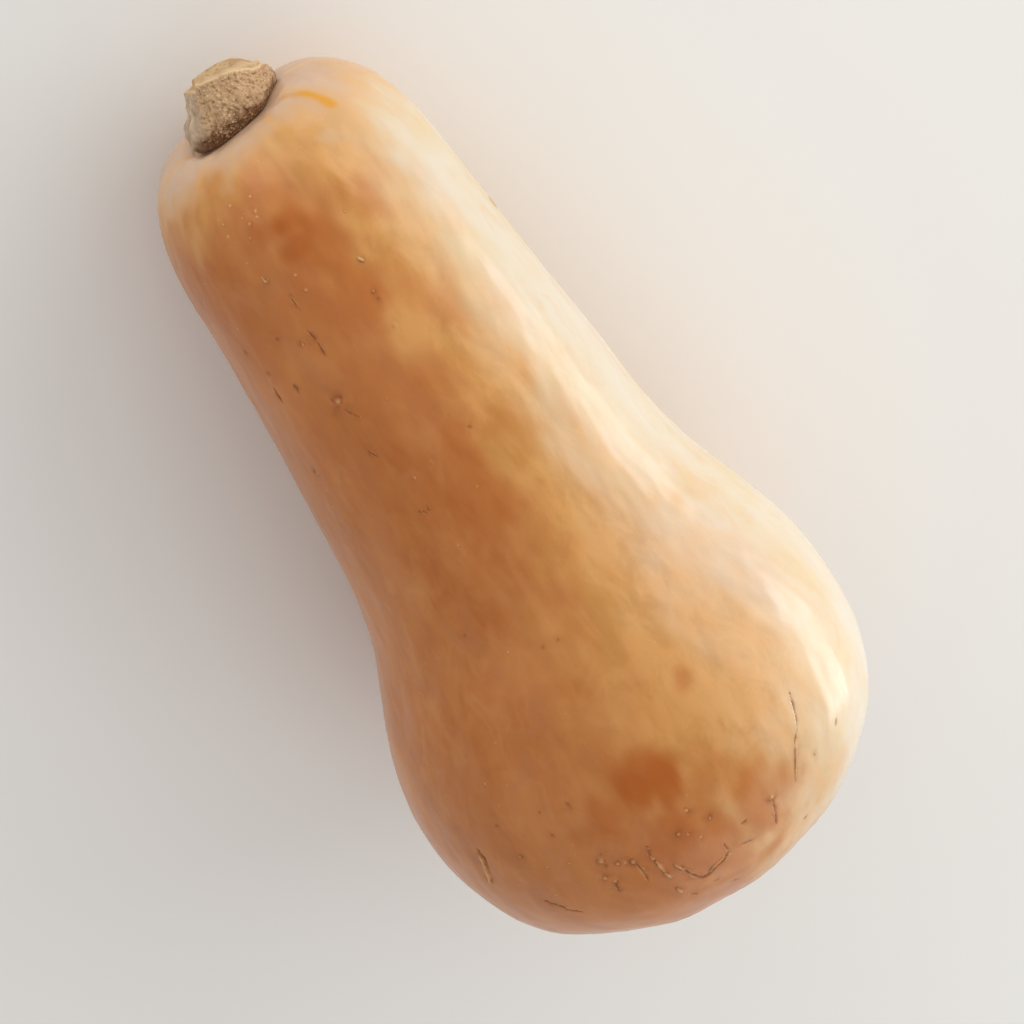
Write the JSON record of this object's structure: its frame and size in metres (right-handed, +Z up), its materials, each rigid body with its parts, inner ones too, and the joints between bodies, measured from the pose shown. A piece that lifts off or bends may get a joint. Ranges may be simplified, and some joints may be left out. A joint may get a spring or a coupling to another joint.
{
  "type": "butternut squash",
  "caption": "Whole butternut squash with a round bulb, a long tapering neck and a short corky stub of stem, lying on its side.",
  "frame": {"origin": "on the surface that the squash lies on, under the middle of its bounding box", "axes": "+X along the squash from the blossom end to the stem, +Z up from the surface"},
  "size_m": [0.2348, 0.1178, 0.1172],
  "materials": {
    "rind": "smooth waxy rind, tan orange",
    "cork": "dry, rough and corky"
  },
  "bodies": {
    "root": {"fruit": "rind", "stem": "cork"}
  },
  "joints": []
}
